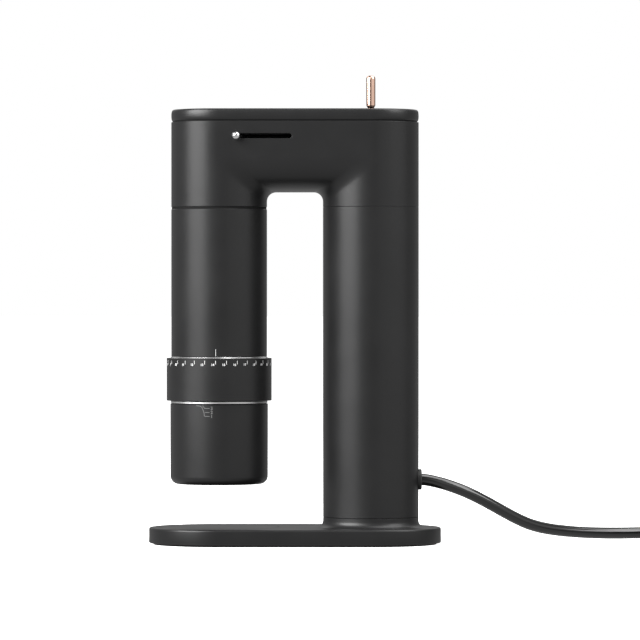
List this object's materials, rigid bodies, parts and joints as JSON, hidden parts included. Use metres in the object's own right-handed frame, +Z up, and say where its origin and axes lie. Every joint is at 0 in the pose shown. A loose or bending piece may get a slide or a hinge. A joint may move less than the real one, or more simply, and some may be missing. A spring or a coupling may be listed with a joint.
{
  "type": "electric coffee grinder",
  "caption": "Slim motor-driven burr coffee grinder: two round black columns on an oval base, bridge housing, numbered grind dial, catch cup, copper toggle and a power cord.",
  "frame": {"origin": "on the resting surface, under the middle of the base", "axes": "+Z up through the columns, +X from the bean column to the motor tower, -Y is the front"},
  "size_m": [0.4102, 0.1311, 0.2811],
  "materials": {
    "black": "satin black anodised",
    "polished_steel": "polished",
    "steel": "machined",
    "bare_aluminium": "machined",
    "brass": "machined",
    "copper": "polished rose copper",
    "inner_plastic": "matt black",
    "rubber": "matt",
    "cord_pvc": "glossy black PVC"
  },
  "bodies": {
    "stand": {"foot_pad": "rubber", "base_plate": "black", "ballast_plate": "steel", "tower_tube": "black", "tower_foot": "bare_aluminium", "joint_sleeve": "bare_aluminium", "upper_housing": "black", "top_cover": "black", "hatch_frame": "inner_plastic", "switch_body": "inner_plastic", "motor_can": "steel", "motor_gearbox": "bare_aluminium", "motor_mount": "bare_aluminium", "control_board": "inner_plastic", "idler_axle_1": "steel", "idler_axle_2": "steel", "idler_axle_3": "steel", "gear_case": "inner_plastic", "gear_case_cover": "inner_plastic", "column_body": "black", "hopper_liner": "inner_plastic", "upper_spider": "bare_aluminium", "lower_spider": "bare_aluminium", "upper_bearing": "steel", "lower_bearing": "steel", "cup_seat_ring": "polished_steel", "cord_grommet": "rubber", "cord_relief": "rubber", "cord_run": "cord_pvc", "cord_coil": "cord_pvc", "plug_body": "rubber", "plug_pin_1": "brass", "plug_pin_2": "brass", "base_screw_1": "steel", "base_screw_2": "steel", "base_screw_3": "steel", "motor_screw_1": "steel", "motor_screw_2": "steel"},
    "hatch": {"hatch_plate": "steel", "hatch_stem": "steel", "hatch_ball": "polished_steel"},
    "toggle": {"toggle_lever": "copper"},
    "dial": {"dial_ring": "black"},
    "carrier": {"burr_carrier": "bare_aluminium", "ring_burr": "steel"},
    "burr": {"burr_shaft": "steel", "feed_auger": "steel", "cone_burr": "steel", "burr_nut": "steel", "driven_gear": "brass"},
    "rotor": {"motor_shaft": "steel", "motor_pinion": "steel"},
    "idler_1": {"idler_gear_1": "inner_plastic"},
    "idler_2": {"idler_gear_2": "inner_plastic"},
    "idler_3": {"idler_gear_3": "inner_plastic"},
    "cup": {"catch_cup": "black", "cup_magnet_1": "steel", "cup_magnet_2": "steel", "cup_magnet_3": "steel"}
  },
  "joints": [
    {"name": "hatch_slide", "type": "slide", "parent": "stand", "child": "hatch", "axis": [1, 0, 0], "range_m": [0, 0.031]},
    {"name": "toggle_tilt", "type": "hinge", "parent": "stand", "child": "toggle", "pos_m": [0.0455, 0, 0.255], "axis": [1, 0, 0], "range_deg": [-14, 14]},
    {"name": "dial_turn", "type": "hinge", "parent": "stand", "child": "dial", "pos_m": [-0.0455, 0, 0.0995], "axis": [0, 0, 1], "range_deg": [-168, 180]},
    {"name": "carrier_feed", "type": "slide", "parent": "stand", "child": "carrier", "axis": [0, 0, 1], "range_m": [-0.00072, 0.00076]},
    {"name": "burr_spin", "type": "hinge", "parent": "stand", "child": "burr", "pos_m": [-0.0455, 0, 0.15], "axis": [0, 0, 1], "continuous": true},
    {"name": "idler_3_spin", "type": "hinge", "parent": "stand", "child": "idler_3", "pos_m": [-0.0225, 0, 0.2235], "axis": [0, 0, 1], "continuous": true},
    {"name": "idler_2_spin", "type": "hinge", "parent": "stand", "child": "idler_2", "pos_m": [0.0015, 0, 0.2235], "axis": [0, 0, 1], "continuous": true},
    {"name": "idler_1_spin", "type": "hinge", "parent": "stand", "child": "idler_1", "pos_m": [0.0255, 0, 0.2235], "axis": [0, 0, 1], "continuous": true},
    {"name": "rotor_spin", "type": "hinge", "parent": "stand", "child": "rotor", "pos_m": [0.0455, 0, 0.21], "axis": [0, 0, 1], "continuous": true},
    {"name": "cup_drop", "type": "slide", "parent": "stand", "child": "cup", "axis": [0, 0, -1], "range_m": [0, 0.024]}
  ],
  "couplings": [
    {"joint": "carrier_feed", "follows": "dial_turn", "m_per_rad": 0.00023873},
    {"joint": "idler_3_spin", "follows": "burr_spin", "ratio": -0.91667},
    {"joint": "idler_2_spin", "follows": "burr_spin", "ratio": 0.91667},
    {"joint": "idler_1_spin", "follows": "burr_spin", "ratio": -0.91667},
    {"joint": "rotor_spin", "follows": "burr_spin", "ratio": 1.375}
  ]
}
